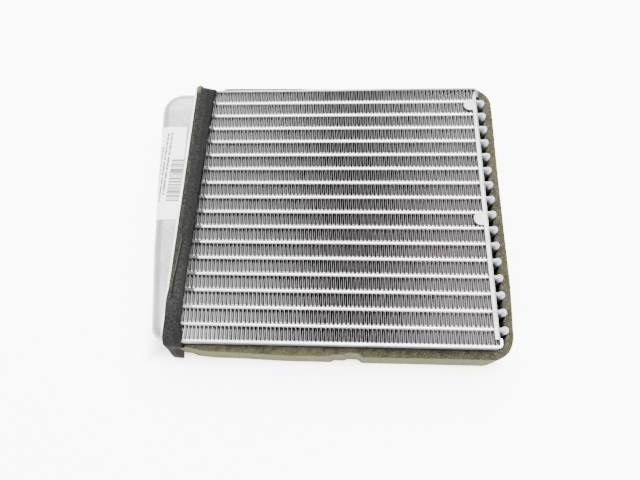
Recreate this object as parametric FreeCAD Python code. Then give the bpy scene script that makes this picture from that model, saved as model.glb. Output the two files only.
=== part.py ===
import FreeCAD, Part
import math
import os
from FreeCAD import Vector

# A brazed aluminium heater core that lies on its back, with its front face up. Lengths are in
# millimetres. The sizes and shapes below are set out in the core's own frame: X runs along the tubes from
# the header plate, Y across the tubes and Z through the core's depth, with both centred on the core.
# At the end the whole core is moved so that the origin is the middle of its base.

# Tubes, each with a front and a rear passage and a turning bulb at its right end
tube_count = 16
tube_pitch = 10.0
tube_thickness = 2.0
core_depth = 32.0
core_length = 176.6          # from the header plate to the end plate
tube_wall = 0.4
tube_web = 1.2               # between the front and the rear passage
tube_tail = 4.0              # the part of a tube that stands inside the tank
bulb_radius = 2.1
bulb_wall = 0.4
bulb_reach = 5.0             # from the end plate's inner face to the middle of a bulb
bulb_top_drop = 0.7          # from the front face down to the top of a bulb

# Fins. A solid's wave takes in two of the real fin's, whose folds are half as far apart.
fin_wave = 4.77
fin_sheet = 0.2
fin_recess = 0.5             # below the front and the rear face
fin_end_gap = 0.3

# Side plates, whose right ends are bent inwards
side_plate_thickness = 1.3
side_plate_bend = 2.4        # outer radius of the bend
near_hook = 5.3
far_hook = 7.3

# End plate, a slotted channel that the tubes pass through
end_plate_sheet = 1.2
end_plate_near_gap = 3.4     # from its near end to the near side plate
end_plate_far_gap = 2.5
end_flange_width = 2.8
end_flange_sheet = 1.0
end_flange_point = 7.0       # the length over which the front flange runs out at its far end
end_plate_bend = 1.1
slot_clearance = 0.05
tab_reach = 7.2              # from the plate's inner face
tab_width = 8.0
tab_tip_radius = 3.9
tab_setbacks = (12.5, 93.4)  # from the far side plate to the middle of each tab

# Header plate, a pan with a thin rim
header_sheet = 1.5
pan_wall = 1.0
pan_depth = 9.6
pan_side_room = 0.8          # from a side gap's outer face to the pan's inner wall
pan_face_room = 0.3          # from the core's face to the pan's inner wall
rim_thickness = 1.2
rim_stand = 1.9
rim_far_stand = 2.6          # at its far end
rim_far_corner = 4.0

# Tank, a tapered cup in the pan
tank_wall = 1.5
tank_edge_radius = 6.5
tank_skirt_start = 4.5       # from the header plate's core side
tank_far_depth = 34.0
tank_bend_depth = 24.0
tank_near_depth = 17.1
tank_bend_setback = 54.8     # from the near wall to where the end wall bends
tank_far_corner = 14.0
tank_near_corner = 8.5

# Port sockets in the tank's end wall
port_bore = 13.0
port_socket_wall = 1.0
port_socket_inside = 6.0
port_flange = 1.0
port_flange_step = 0.7       # how far the flange stands round the socket
front_port_setback = 23.3    # from the tank's far wall to the port's middle
port_pitch = 19.5
port_height = -1.0           # from the core's middle depth

# Baffle in the tank
baffle_sheet = 1.2
baffle_step = 18.0           # from the header plate to the turned part beside the ports
baffle_clearance = 0.15

# Charcoal foam belt round the pan
belt_start = 8.2             # from the header plate towards the tank
belt_overhang = 1.0          # over the core
belt_thickness = 2.4
belt_gap = 0.1
belt_corner = 6.0
belt_core_gap = 0.3
belt_slant_rise = 14.0       # the slanted cut at the belt's near lower corner
belt_slant_run = 7.2

# Olive foam strip round the sides and the bulbs
strip_gap = 0.2
strip_side_thickness = 5.2
strip_end_thickness = 4.9
strip_top_drop = 7.0         # from the front face
strip_outer_corner = 14.0
strip_inner_corner = 8.0
strip_belt_gap = 0.3
strip_far_start = 8.0
strip_near_pinch = 1.5       # how much thinner the near run is beside the belt
strip_pinch_length = 21.0
dent_place = 93.7            # the middle of the pressed-in place in the near run
dent_length = 17.0
dent_shallow = 1.1
dent_deep = 2.0
dent_slope = 1.5

# Label on the tank
label_thickness = 0.2
label_setback = 28.9         # from the tank's far wall
label_length = 66.9
label_rim_gap = 0.6
label_far_rim_gap = 3.0
label_wrap = 7.6             # from the tank's front face down its end wall

# Values that follow from those above
half_depth = core_depth / 2
side_inner = tube_count * tube_pitch / 2 + (tube_pitch - tube_thickness) / 2
side_outer = side_inner + side_plate_thickness
pan_half_width = side_inner + pan_side_room
pan_half_depth = half_depth + pan_face_room
pan_corner = tank_edge_radius + pan_wall
front_port_place = pan_half_width - front_port_setback
rear_port_place = front_port_place - port_pitch
bulb_x = core_length + bulb_reach
belt_half_width = pan_half_width + pan_wall + belt_gap + belt_thickness
belt_half_depth = pan_half_depth + pan_wall + belt_gap + belt_thickness

# How far a cutting form runs past what it cuts, and a length that reaches past the whole core
overshoot = 1.0
past_all = 1000.0

# Two points nearer to each other than this count as one
same_place = 1e-6


def tube_places():
    first = -(tube_count - 1) * tube_pitch / 2
    return [first + tube_pitch * number for number in range(tube_count)]


def corner_arc(before, corner, after, radius):
    """The two tangent points and the middle point of an arc that rounds a corner."""
    back = (before - corner).normalize()
    on = (after - corner).normalize()
    half_angle = back.getAngle(on) / 2
    reach = radius / math.tan(half_angle)
    middle = (back + on).normalize() * (radius / math.sin(half_angle) - radius)
    return corner + back * reach, corner + middle, corner + on * reach


def rounded_outline(corners):
    """A closed wire through corners, each a point and the radius of its rounding, 0 where it is sharp."""
    count = len(corners)
    joints = []
    for number, (point, radius) in enumerate(corners):
        if radius > 0:
            before = corners[number - 1][0]
            after = corners[(number + 1) % count][0]
            joints.append(corner_arc(before, point, after, radius))
        else:
            joints.append((point, None, point))
    edges = []
    for number, (start, middle, end) in enumerate(joints):
        if middle is not None:
            edges.append(Part.Arc(start, middle, end).toShape())
        following = joints[(number + 1) % count][0]
        if end.distanceToPoint(following) > same_place:
            edges.append(Part.LineSegment(end, following).toShape())
    return Part.Wire(edges)


def plan_solid(corners, low, high):
    """An outline in X and Y, extruded from one height to another."""
    placed = [(Vector(x, y, low), radius) for x, y, radius in corners]
    return Part.Face(rounded_outline(placed)).extrude(Vector(0, 0, high - low))


def side_view_solid(corners, near, far):
    """An outline in X and Z, extruded from one place across the tubes to another."""
    placed = [(Vector(x, near, z), radius) for x, z, radius in corners]
    return Part.Face(rounded_outline(placed)).extrude(Vector(0, far - near, 0))


def end_view_slab(start, end, half_width, half_height, radius):
    """A rectangle with round corners across the tubes, extruded along them."""
    placed = [
        (Vector(start, -half_width, -half_height), radius),
        (Vector(start, half_width, -half_height), radius),
        (Vector(start, half_width, half_height), radius),
        (Vector(start, -half_width, half_height), radius),
    ]
    return Part.Face(rounded_outline(placed)).extrude(Vector(end - start, 0, 0))


def box_between(low, high):
    size = high - low
    return Part.makeBox(size.x, size.y, size.z, low)


def flat_tube_bar(start, end, place, thickness, depth):
    """A bar along X with the flat tube's section: two flat sides and two round edges."""
    half = thickness / 2
    straight = depth / 2 - half
    low_arc = Part.Arc(
        Vector(start, place - half, -straight),
        Vector(start, place, -straight - half),
        Vector(start, place + half, -straight),
    )
    high_arc = Part.Arc(
        Vector(start, place + half, straight),
        Vector(start, place, straight + half),
        Vector(start, place - half, straight),
    )
    far_side = Part.LineSegment(Vector(start, place + half, -straight), Vector(start, place + half, straight))
    near_side = Part.LineSegment(Vector(start, place - half, straight), Vector(start, place - half, -straight))
    wire = Part.Wire([low_arc.toShape(), far_side.toShape(), high_arc.toShape(), near_side.toShape()])
    return Part.Face(wire).extrude(Vector(end - start, 0, 0))


def bulb_form(place):
    """A turning bulb's outside: an upright round bar with domed ends."""
    top = half_depth - bulb_top_drop
    shoulder = top - bulb_radius
    slant = bulb_radius * math.sqrt(0.5)
    foot = Vector(bulb_x, place, -top)
    low_side = Vector(bulb_x + bulb_radius, place, -shoulder)
    high_side = Vector(bulb_x + bulb_radius, place, shoulder)
    crown = Vector(bulb_x, place, top)
    low_dome = Part.Arc(foot, Vector(bulb_x + slant, place, -shoulder - slant), low_side)
    high_dome = Part.Arc(high_side, Vector(bulb_x + slant, place, shoulder + slant), crown)
    wire = Part.Wire([
        low_dome.toShape(),
        Part.LineSegment(low_side, high_side).toShape(),
        high_dome.toShape(),
        Part.LineSegment(crown, foot).toShape(),
    ])
    return Part.Face(wire).revolve(Vector(bulb_x, place, 0), Vector(0, 0, 1), 360)


def make_tube(place):
    outside = flat_tube_bar(-tube_tail, bulb_x, place, tube_thickness, core_depth)
    outside = outside.fuse(bulb_form(place))
    passage_thickness = tube_thickness - 2 * tube_wall
    passages = flat_tube_bar(-tube_tail, bulb_x, place, passage_thickness, core_depth - 2 * tube_wall)
    web = box_between(
        Vector(-tube_tail - overshoot, place - tube_thickness, -tube_web / 2),
        Vector(bulb_x - bulb_radius, place + tube_thickness, tube_web / 2),
    )
    turn_radius = bulb_radius - bulb_wall
    turn_half = half_depth - bulb_top_drop - bulb_radius
    turn = Part.makeCylinder(turn_radius, 2 * turn_half, Vector(bulb_x, place, -turn_half))
    mouth_half = half_depth - tube_wall - passage_thickness / 2
    passages = passages.cut(web).common(box_between(
        Vector(-tube_tail - overshoot, place - tube_thickness, -mouth_half),
        Vector(bulb_x, place + tube_thickness, mouth_half),
    )).fuse(turn)
    return outside.cut(passages).removeSplitter()


def make_fin(place):
    """A folded sheet whose folds touch the tubes on both sides."""
    start = fin_end_gap
    length = core_length - 2 * fin_end_gap
    folds = 2 * max(1, round(length / fin_wave))
    step = length / folds
    reach = (tube_pitch - tube_thickness) / 2
    fold_length = math.hypot(step, 2 * reach)
    lift = fin_sheet * fold_length / step
    upper = []
    lower = []
    for number in range(folds + 1):
        x = start + step * number
        crest = reach if number % 2 == 0 else lift - reach
        upper.append(Vector(x, place + crest, 0))
        lower.append(Vector(x, place + crest - lift, 0))
    outline = upper + lower[::-1] + upper[:1]
    fin_half_depth = half_depth - fin_recess
    face = Part.Face(Part.makePolygon(outline))
    face.translate(Vector(0, 0, -fin_half_depth))
    return face.extrude(Vector(0, 0, 2 * fin_half_depth))


def make_side_plate(side, hook):
    """A plate along one side, with its right end bent inwards behind the end plate."""
    hook_inner = core_length + end_plate_sheet
    hook_outer = hook_inner + side_plate_thickness
    inner_bend = side_plate_bend - side_plate_thickness
    hook_tip = side_outer - hook
    corners = [
        (0, side * side_inner, 0),
        (hook_inner, side * side_inner, inner_bend),
        (hook_inner, side * hook_tip, 0),
        (hook_outer, side * hook_tip, 0),
        (hook_outer, side * side_outer, side_plate_bend),
        (0, side * side_outer, 0),
    ]
    return plan_solid(corners, -half_depth, half_depth)


def make_end_plate():
    face_level = half_depth + end_flange_sheet
    web_inner = core_length
    web_outer = core_length + end_plate_sheet
    flange_edge = web_outer - end_flange_width
    far_end = side_inner - end_plate_far_gap
    channel = side_view_solid(
        [
            (flange_edge, half_depth, 0),
            (web_inner, half_depth, 0),
            (web_inner, -half_depth, 0),
            (flange_edge, -half_depth, 0),
            (flange_edge, -face_level, 0),
            (web_outer, -face_level, end_plate_bend),
            (web_outer, face_level, end_plate_bend),
            (flange_edge, face_level, 0),
        ],
        end_plate_near_gap - side_inner,
        far_end,
    )
    run_out = plan_solid(
        [
            (flange_edge - overshoot, far_end - end_flange_point, 0),
            (flange_edge, far_end - end_flange_point, 0),
            (web_inner, far_end, 0),
            (web_inner, far_end + overshoot, 0),
            (flange_edge - overshoot, far_end + overshoot, 0),
        ],
        half_depth,
        face_level,
    )
    plate = channel.cut(run_out)
    for setback in tab_setbacks:
        place = side_inner - setback
        tab_tip = web_inner - tab_reach
        tab_half = tab_width / 2
        plate = plate.fuse(plan_solid(
            [
                (tab_tip, place - tab_half, tab_tip_radius),
                (web_inner, place - tab_half, 0),
                (web_inner, place + tab_half, 0),
                (tab_tip, place + tab_half, tab_tip_radius),
            ],
            half_depth,
            face_level,
        ))
    return cut_tube_slots(plate, web_inner - overshoot, web_outer + overshoot).removeSplitter()


def cut_tube_slots(plate, start, end):
    slots = [
        flat_tube_bar(start, end, place, tube_thickness + 2 * slot_clearance, core_depth + 2 * slot_clearance)
        for place in tube_places()
    ]
    for slot in slots:
        plate = plate.cut(slot)
    return plate


def make_header_plate():
    outer_width = pan_half_width + pan_wall
    outer_depth = pan_half_depth + pan_wall
    pan = end_view_slab(-pan_depth, 0, outer_width, outer_depth, pan_corner)
    rim_half_depth = outer_depth + rim_stand
    near_edge = -outer_width - rim_stand
    far_edge = outer_width + rim_far_stand
    rim_outline = rounded_outline([
        (Vector(-pan_depth, near_edge, -rim_half_depth), pan_corner + rim_stand),
        (Vector(-pan_depth, far_edge, -rim_half_depth), rim_far_corner),
        (Vector(-pan_depth, far_edge, rim_half_depth), rim_far_corner),
        (Vector(-pan_depth, near_edge, rim_half_depth), pan_corner + rim_stand),
    ])
    rim = Part.Face(rim_outline).extrude(Vector(rim_thickness, 0, 0))
    hollow = end_view_slab(
        -pan_depth - overshoot, -header_sheet, pan_half_width, pan_half_depth, tank_edge_radius)
    plate = pan.fuse(rim).cut(hollow)
    return cut_tube_slots(plate, -header_sheet - overshoot, overshoot).removeSplitter()


def tank_end_run():
    """The two ends of the end wall's far run, outside, as points in X and Y."""
    far_end = Vector(-tank_far_depth, pan_half_width, 0)
    bend = Vector(-tank_bend_depth, tank_bend_setback - pan_half_width, 0)
    return far_end, bend


def tank_form(inset, mouth):
    """The tank's outer form, or with an inset its hollow, open towards the header plate at mouth."""
    far_end, bend = tank_end_run()
    outline = rounded_outline([
        (Vector(mouth + inset, pan_half_width, 0), 0),
        (far_end, tank_far_corner),
        (bend, 0),
        (Vector(-tank_near_depth, -pan_half_width, 0), tank_near_corner),
        (Vector(mouth + inset, -pan_half_width, 0), 0),
    ])
    face = Part.Face(outline)
    if inset != 0:
        face = face.makeOffset2D(-inset, 2)
    depth_here = pan_half_depth - inset
    face.translate(Vector(0, 0, -depth_here))
    block = face.extrude(Vector(0, 0, 2 * depth_here))
    level_edges = [
        edge for edge in block.Edges
        if edge.BoundBox.ZLength < same_place and edge.BoundBox.XMin < mouth - overshoot
    ]
    return block.makeFillet(tank_edge_radius - inset, level_edges)


def port_axis(place):
    """A port's middle on the end wall's outer face, and the direction that its pipe leaves in."""
    far_end, bend = tank_end_run()
    along = far_end - bend
    share = (place - bend.y) / along.y
    middle = bend + along * share
    outward = Vector(-along.y, along.x, 0).normalize()
    return middle + Vector(0, 0, port_height), outward


def make_tank():
    outside = tank_form(0, -tank_skirt_start)
    hollow = tank_form(tank_wall, -tank_skirt_start + 2 * tank_wall)
    tank = outside.cut(hollow)
    socket_radius = port_bore / 2 + port_socket_wall
    for place in (front_port_place, rear_port_place):
        middle, outward = port_axis(place)
        reach = 2 * tank_wall
        hole = Part.makeCylinder(socket_radius, 2 * reach, middle - outward * reach, outward)
        tank = tank.cut(hole)
    return tank.removeSplitter()


def make_port_collar(place):
    """A turned socket with a thin flange that seats on the end wall."""
    middle, outward = port_axis(place)
    inner_end = middle - outward * port_socket_inside
    length = port_socket_inside + port_flange
    socket = Part.makeCylinder(port_bore / 2 + port_socket_wall, length, inner_end, outward)
    flange_radius = port_bore / 2 + port_socket_wall + port_flange_step
    flange = Part.makeCylinder(flange_radius, port_flange, middle, outward)
    bore_start = inner_end - outward * overshoot
    bore = Part.makeCylinder(port_bore / 2, length + 2 * overshoot, bore_start, outward)
    return socket.fuse(flange).cut(bore).removeSplitter()


def make_baffle():
    """A plate at the middle depth that is turned down beside the front port and up beside the rear one."""
    half = baffle_sheet / 2
    between_ports = (front_port_place + rear_port_place) / 2
    rear_zone_end = rear_port_place - port_pitch / 2
    reach = tank_far_depth
    middle_plate = box_between(
        Vector(-baffle_step - baffle_sheet, -past_all, -half), Vector(-header_sheet, past_all, half))
    outer_plate = box_between(Vector(-reach, -past_all, -half), Vector(-baffle_step, rear_zone_end, half))
    turned_down = box_between(
        Vector(-baffle_step - baffle_sheet, between_ports, -core_depth), Vector(-baffle_step, past_all, half))
    turned_up = box_between(
        Vector(-baffle_step - baffle_sheet, rear_zone_end, -half),
        Vector(-baffle_step, between_ports, core_depth))
    port_wall = box_between(
        Vector(-reach, between_ports - half, -core_depth),
        Vector(-baffle_step, between_ports + half, core_depth))
    zone_wall = box_between(
        Vector(-reach, rear_zone_end - half, -half), Vector(-baffle_step, rear_zone_end + half, core_depth))
    baffle = middle_plate.multiFuse([outer_plate, turned_down, turned_up, port_wall, zone_wall])
    baffle = baffle.common(tank_form(tank_wall, -header_sheet + tank_wall))
    for place in tube_places():
        side = tube_thickness / 2 + baffle_clearance
        baffle = baffle.cut(box_between(
            Vector(-tube_tail - baffle_clearance, place - side, -half - overshoot),
            Vector(0, place + side, half + overshoot),
        ))
    return baffle.removeSplitter()


def make_belt():
    """A foam belt whose ends are cut on a slant and meet at the near lower corner."""
    outside = end_view_slab(-belt_start, belt_overhang, belt_half_width, belt_half_depth, belt_corner)
    inside = end_view_slab(
        -belt_start - overshoot,
        belt_overhang + overshoot,
        belt_half_width - belt_thickness,
        belt_half_depth - belt_thickness,
        pan_corner + belt_gap,
    )
    core_room = box_between(
        Vector(0, -side_outer - belt_core_gap, -half_depth - belt_core_gap),
        Vector(belt_overhang + overshoot, side_outer + belt_core_gap, half_depth + belt_core_gap),
    )
    low = -belt_half_depth
    slant = side_view_solid(
        [
            (belt_overhang, low + belt_slant_rise, 0),
            (belt_overhang + overshoot, low + belt_slant_rise, 0),
            (belt_overhang + overshoot, low - overshoot, 0),
            (belt_overhang - belt_slant_run, low - overshoot, 0),
        ],
        -belt_half_width - overshoot,
        -belt_half_width + pan_corner,
    )
    return outside.cut(inside).cut(core_room).cut(slant).removeSplitter()


def make_strip():
    """A foam strip along the near side, round the bulbs and back along the far side."""
    side_seat = side_outer + strip_gap
    side_face = side_seat + strip_side_thickness
    end_seat = bulb_x + bulb_radius + strip_gap
    end_face = end_seat + strip_end_thickness
    start = belt_overhang + strip_belt_gap
    dent_start = dent_place - dent_length / 2
    dent_end = dent_place + dent_length / 2
    corners = [
        (start, -side_seat, 0),
        (start, -side_face + strip_near_pinch, 0),
        (start + strip_pinch_length, -side_face, 0),
        (dent_start, -side_face, 0),
        (dent_start + dent_slope, -side_face + dent_shallow, 0),
        (dent_place - dent_slope / 2, -side_face + dent_shallow, 0),
        (dent_place + dent_slope / 2, -side_face + dent_deep, 0),
        (dent_end - dent_slope, -side_face + dent_deep, 0),
        (dent_end, -side_face, 0),
        (end_face, -side_face, strip_outer_corner),
        (end_face, side_face, strip_outer_corner),
        (strip_far_start, side_face, 0),
        (strip_far_start, side_seat, 0),
        (end_seat, side_seat, strip_inner_corner),
        (end_seat, -side_seat, strip_inner_corner),
    ]
    return plan_solid(corners, -belt_half_depth, half_depth - strip_top_drop)


def make_label():
    """A label on the tank's front face that bends over its end edge."""
    skin = tank_form(-label_thickness, -tank_skirt_start).cut(tank_form(0, -tank_skirt_start))
    rim_face = -pan_depth
    far_end = pan_half_width - label_setback
    near_end = far_end - label_length
    patch = plan_solid(
        [
            (rim_face - label_rim_gap, near_end, 0),
            (rim_face - label_far_rim_gap, far_end, 0),
            (-past_all, far_end, 0),
            (-past_all, near_end, 0),
        ],
        pan_half_depth - label_wrap,
        past_all,
    )
    return skin.common(patch).removeSplitter()


def make_parts():
    parts = {}
    for number, place in enumerate(reversed(tube_places()), start=1):
        parts[f"tube_{number:02d}"] = make_tube(place)
    first_row = tube_places()[-1] + tube_pitch / 2
    for number in range(tube_count + 1):
        parts[f"fin_{number + 1:02d}"] = make_fin(first_row - tube_pitch * number)
    parts["near_side_plate"] = make_side_plate(-1, near_hook)
    parts["far_side_plate"] = make_side_plate(1, far_hook)
    parts["end_plate"] = make_end_plate()
    parts["header_plate"] = make_header_plate()
    parts["tank"] = make_tank()
    parts["baffle"] = make_baffle()
    parts["port_collar_front"] = make_port_collar(front_port_place)
    parts["port_collar_rear"] = make_port_collar(rear_port_place)
    parts["header_foam_belt"] = make_belt()
    parts["edge_foam_strip"] = make_strip()
    parts["label"] = make_label()
    return parts


def move_to_base_middle(parts):
    whole = FreeCAD.BoundBox()
    for shape in parts.values():
        whole.add(shape.optimalBoundingBox(False, False))
    for shape in parts.values():
        shape.translate(Vector(-whole.Center.x, -whole.Center.y, -whole.ZMin))


def main():
    parts = make_parts()
    move_to_base_middle(parts)
    os.makedirs("parts", exist_ok=True)
    for name, shape in parts.items():
        shape.exportStep(f"parts/{name}.step")


main()
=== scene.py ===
import math
from types import SimpleNamespace

import bmesh
import bpy
from mathutils import Matrix, Vector, noise


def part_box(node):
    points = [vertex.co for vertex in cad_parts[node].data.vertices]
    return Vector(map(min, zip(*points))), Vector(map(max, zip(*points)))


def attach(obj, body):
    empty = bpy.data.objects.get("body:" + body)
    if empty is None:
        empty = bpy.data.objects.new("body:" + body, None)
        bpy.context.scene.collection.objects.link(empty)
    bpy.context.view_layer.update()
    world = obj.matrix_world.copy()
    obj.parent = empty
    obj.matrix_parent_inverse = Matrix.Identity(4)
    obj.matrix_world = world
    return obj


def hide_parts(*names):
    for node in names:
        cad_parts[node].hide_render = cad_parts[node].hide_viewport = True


bl_info = {
    "name": "Heater Core Dresser",
    "version": (1, 0, 0),
    "blender": (4, 5, 0),
    "location": "View3D > Sidebar > Heater Core",
    "description": "Gives a heater core its folded fins, foam seals, metal finishes and stage",
    "category": "Object",
}

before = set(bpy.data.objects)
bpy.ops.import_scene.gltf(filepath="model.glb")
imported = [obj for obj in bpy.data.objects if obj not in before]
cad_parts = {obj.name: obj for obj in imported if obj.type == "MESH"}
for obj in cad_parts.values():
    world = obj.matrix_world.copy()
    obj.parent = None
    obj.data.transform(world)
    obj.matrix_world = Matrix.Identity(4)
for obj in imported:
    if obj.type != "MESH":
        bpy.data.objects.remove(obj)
MM = 0.001


def box(node):
    """The lowest and the highest corner of a solid, in millimetres."""
    return [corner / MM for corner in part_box(node)]


# Places that the solids give, in millimetres
HEADER = box("tube_01")[0].x + 4
FRONT_FACE = box("tube_01")[1].z
MIDDLE_HEIGHT = (box("tube_01")[0].z + FRONT_FACE) / 2
HALF_DEPTH = FRONT_FACE - MIDDLE_HEIGHT
FIRST_TUBE = (box("tube_01")[0].y + box("tube_01")[1].y) / 2
TUBE_PITCH = 10
FIN_END = box("fin_01")[1].x
END_FACE = box("end_plate")[1].x
ABOVE_FLOOR = 0.02
TUBES = sorted(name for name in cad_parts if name.startswith("tube_"))
FINS = sorted(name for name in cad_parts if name.startswith("fin_"))


def number(name, words, default, **settings):
    return bpy.props.FloatProperty(name=name, description=words, default=default, **settings)


def length(name, words, default):
    """A length, with its default in millimetres."""
    return number(name, words, default * MM, subtype="DISTANCE", unit="LENGTH", precision=5)


def colour(name, words, default):
    return bpy.props.FloatVectorProperty(
        name=name, description=words, default=default, subtype="COLOR", size=3, min=0, max=1)


def direction(name, words, default, subtype="DIRECTION"):
    return bpy.props.FloatVectorProperty(name=name, description=words, default=default, subtype=subtype)


class FinSizes(bpy.types.PropertyGroup):
    waves: bpy.props.IntProperty(
        name="Waves", description="Waves of two folds in the length of one fin", default=74, min=2)
    sheet: length("Sheet", "Thickness of the fin's sheet", 0.12)
    crest_width: length("Crest width", "Width of a fold's flat crest on its tube", 0.95)
    crest_radius: length("Crest radius", "Rounding between a crest and its folds", 0.36)
    side_gap: length("Side gap", "Room for brazing between a fold and its tube", 0.06)
    braze: length("Braze", "Size of the wedge of braze where a crest meets its tube", 0.45)
    unevenness: length("Unevenness", "How far a fold may stand from its even place", 0.09)
    lean: length("Lean", "How far the first folds at the near left corner are pushed over", 0.9)
    tail_height: length("Tail height", "Height of the small folded tail past the near fin's end", 3.1)
    seed: bpy.props.IntProperty(name="Seed", description="Starts the folds' small differences", default=3)


class FoamSizes(bpy.types.PropertyGroup):
    step: length("Step", "Length between two sections of a foam piece", 0.7)
    belt_crease: length("Belt crease", "From the belt's left edge to its crease", 2.4)
    belt_crease_depth: length("Crease depth", "Depth of the belt's crease", 0.4)
    belt_bulge: length("Belt bulge", "How far the belt's near end stands out low down", 3.9)
    belt_lap: length("Belt lap", "How far the belt's top reaches over the core at its far end", 2.5)
    belt_tip: length("Belt tip", "How far the belt's left strip stands out at its far end", 1.6)
    belt_pressed: length("Belt pressed", "How far the olive strip's tip presses the belt in", 1.2)
    belt_wander: length("Belt wander", "How far the belt's cut edges wander", 0.35)
    cut_roughness: length("Cut roughness", "Height of the torn cells on a cut face", 0.16)
    far_rise: length("Far rise", "How far the strip's far run stands higher than the rest", 2.0)
    strip_tip: length("Strip tip", "How far the olive strip's tip lies on the belt", 3.1)
    skin_wave: length("Skin wave", "Height of the slow waves in the olive strip's skin", 0.25)
    swell: length("Swell", "How far the olive strip swells in between two bulbs", 1.4)


class Finishes(bpy.types.PropertyGroup):
    tube: colour("Tubes", "Bright aluminium of the tubes", (0.96, 0.96, 0.965))
    bulb: colour("Bulbs", "Aluminium of the turning bulbs", (0.46, 0.455, 0.475))
    fin: colour("Fins", "Aluminium of the fins", (0.062, 0.0615, 0.062))
    # Painted light: the fins' cut edges are painted lighter than their faces, and the crests' edges by the
    # near tube nearly white, as highlights
    fin_edge: colour("Fin edges", "Cut edges of the fins", (0.33, 0.33, 0.33))
    crest_edge: colour("Crest edges", "Edges of the fins' brazed crests", (0.9, 0.9, 0.9))
    plate: colour("Plates", "Aluminium of the side plates and the end plate", (0.80, 0.79, 0.81))
    tank: colour("Tank", "Matt aluminium of the tank", (0.52, 0.52, 0.525))
    header: colour("Header", "Dull aluminium of the header plate's rim", (0.86, 0.85, 0.79))
    # Flux left from brazing, with painted shade of the foam belt, on the tubes beside the header
    residue_and_shade: colour("Brazing residue", "Dull film where the tubes were brazed in", (0.075, 0.073, 0.066))
    dark_foam: colour("Dark foam", "Charcoal foam of the belt", (0.0170, 0.0178, 0.0178))
    # Painted shade: colour of the belt's two side faces
    dark_side: colour("Dark foam, sides", "Belt's foam at its two sides", (0.0140, 0.0136, 0.0128))
    worn_foam: colour("Worn foam", "Faded foam along the belt's left edge", (0.031, 0.032, 0.028))
    # At the belt's crease this is a painted highlight
    pale_foam: colour("Pale foam", "Palest foam, at the belt's crease and far end", (0.075, 0.078, 0.058))
    olive_cut: colour("Olive foam, cut", "Cut faces of the foam strip", (0.060, 0.055, 0.035))
    olive_soiled: colour("Olive foam, soiled", "Cut faces towards the right", (0.041, 0.039, 0.028))
    olive_glint: colour("Olive foam, glints", "Cell walls that catch the light", (0.42, 0.39, 0.27))
    olive_skin: colour("Olive foam, skin", "Skin of the foam strip", (0.0545, 0.053, 0.021))
    paper: colour("Paper", "Paper of the label", (0.97, 0.97, 0.975))
    bars: colour("Bars", "Generic bars on the label", (0.13, 0.13, 0.14))


class StageSizes(bpy.types.PropertyGroup):
    camera_place: direction(
        "Camera place", "Where the camera stands", (0.01814, -0.1279, 0.3082), "XYZ_LENGTH")
    camera_right: direction(
        "Camera right", "Direction of the view's right side", (0.99816, 0.02924, -0.05321))
    camera_up: direction("Camera up", "Direction of the view's upper side", (-0.00827, 0.93366, 0.35806))
    lens: number("Lens", "Focal length of the camera, in millimetres", 27.56)
    floor_size: length("Floor size", "Width of the floor", 6000)
    sky: number("Sky", "Strength of the light from all round", 1.9)
    lamp: number("Lamp", "Power of the large soft lamp", 80, unit="POWER")
    lamp_size: length("Lamp size", "Width of the large soft lamp", 1600)
    lamp_place: direction("Lamp place", "Where the lamp hangs", (0.25, 0.5, 1.3), "XYZ_LENGTH")
    glow: number("Floor glow", "Glow of the floor away from the core, as an over-exposed white", 6)


def in_millimetres(sizes):
    """The lengths of a group of sizes, in millimetres."""
    return SimpleNamespace(**{name: getattr(sizes, name) / MM for name in type(sizes).__annotations__})


def tones(context, *names):
    return [tuple(getattr(context.scene.core_finishes, name)) for name in names]


# Node trees

def feed(node, inputs):
    """Joins or fills inputs of a node."""
    for key, value in inputs.items():
        socket = node.inputs[key]
        if isinstance(value, bpy.types.NodeSocket):
            node.id_data.links.new(value, socket)
        elif socket.type == "RGBA":
            socket.default_value = (*value[:3], 1)
        else:
            socket.default_value = value
    return node


def put(tree, kind, inputs=None, **settings):
    """Adds a node, sets what it is told to, and joins or fills its inputs."""
    node = tree.nodes.new(kind)
    for name, value in settings.items():
        setattr(node, name, value)
    return feed(node, inputs or {})


def out(tree, kind, inputs=None, **settings):
    """The first output of a node that is added."""
    return put(tree, kind, inputs, **settings).outputs[0]


def sums(tree, operation, first, second=0, third=0):
    return out(tree, "ShaderNodeMath", {0: first, 1: second, 2: third}, operation=operation)


def product(tree, first, *others):
    for other in others:
        first = sums(tree, "MULTIPLY", first, other)
    return first


def combined(tree, x, y=0, z=0):
    return out(tree, "ShaderNodeCombineXYZ", {0: x, 1: y, 2: z})


def distance(tree, value, middle):
    """How far a value is from a middle, to either side."""
    return sums(tree, "ABSOLUTE", sums(tree, "SUBTRACT", value, middle))


def ramp(tree, value, start, end, low=0, high=1):
    """A soft change from low to high as a value goes from start to end."""
    return out(
        tree, "ShaderNodeMapRange", {0: value, 1: start, 2: end, 3: low, 4: high},
        interpolation_type="SMOOTHSTEP")


def inside(tree, value, low, high, soft=0.08):
    """1 between two places and 0 outside them."""
    return product(
        tree, ramp(tree, value, low - soft, low + soft), ramp(tree, value, high - soft, high + soft, 1, 0))


def clouds(tree, place, scale, detail, roughness=0.5):
    return out(
        tree, "ShaderNodeTexNoise",
        {"Vector": place, "Scale": scale, "Detail": detail, "Roughness": roughness})


def blend(tree, share, first, second):
    """A colour between two colours."""
    return put(tree, "ShaderNodeMix", {0: share, 6: first, 7: second}, data_type="RGBA").outputs[2]


def scaled(tone, share):
    return tuple(min(1, channel * share) for channel in tone)


def times(tree, tone, share):
    """A colour or place with each part multiplied by a share."""
    return out(tree, "ShaderNodeVectorMath", {0: tone, "Scale": share}, operation="SCALE")


def dimmed(tree, tone, value, share, start=0, end=1):
    """A colour that is multiplied by 1 to a share as a value goes from start to end."""
    return times(tree, tone, ramp(tree, value, start, end, 1, share))


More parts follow.
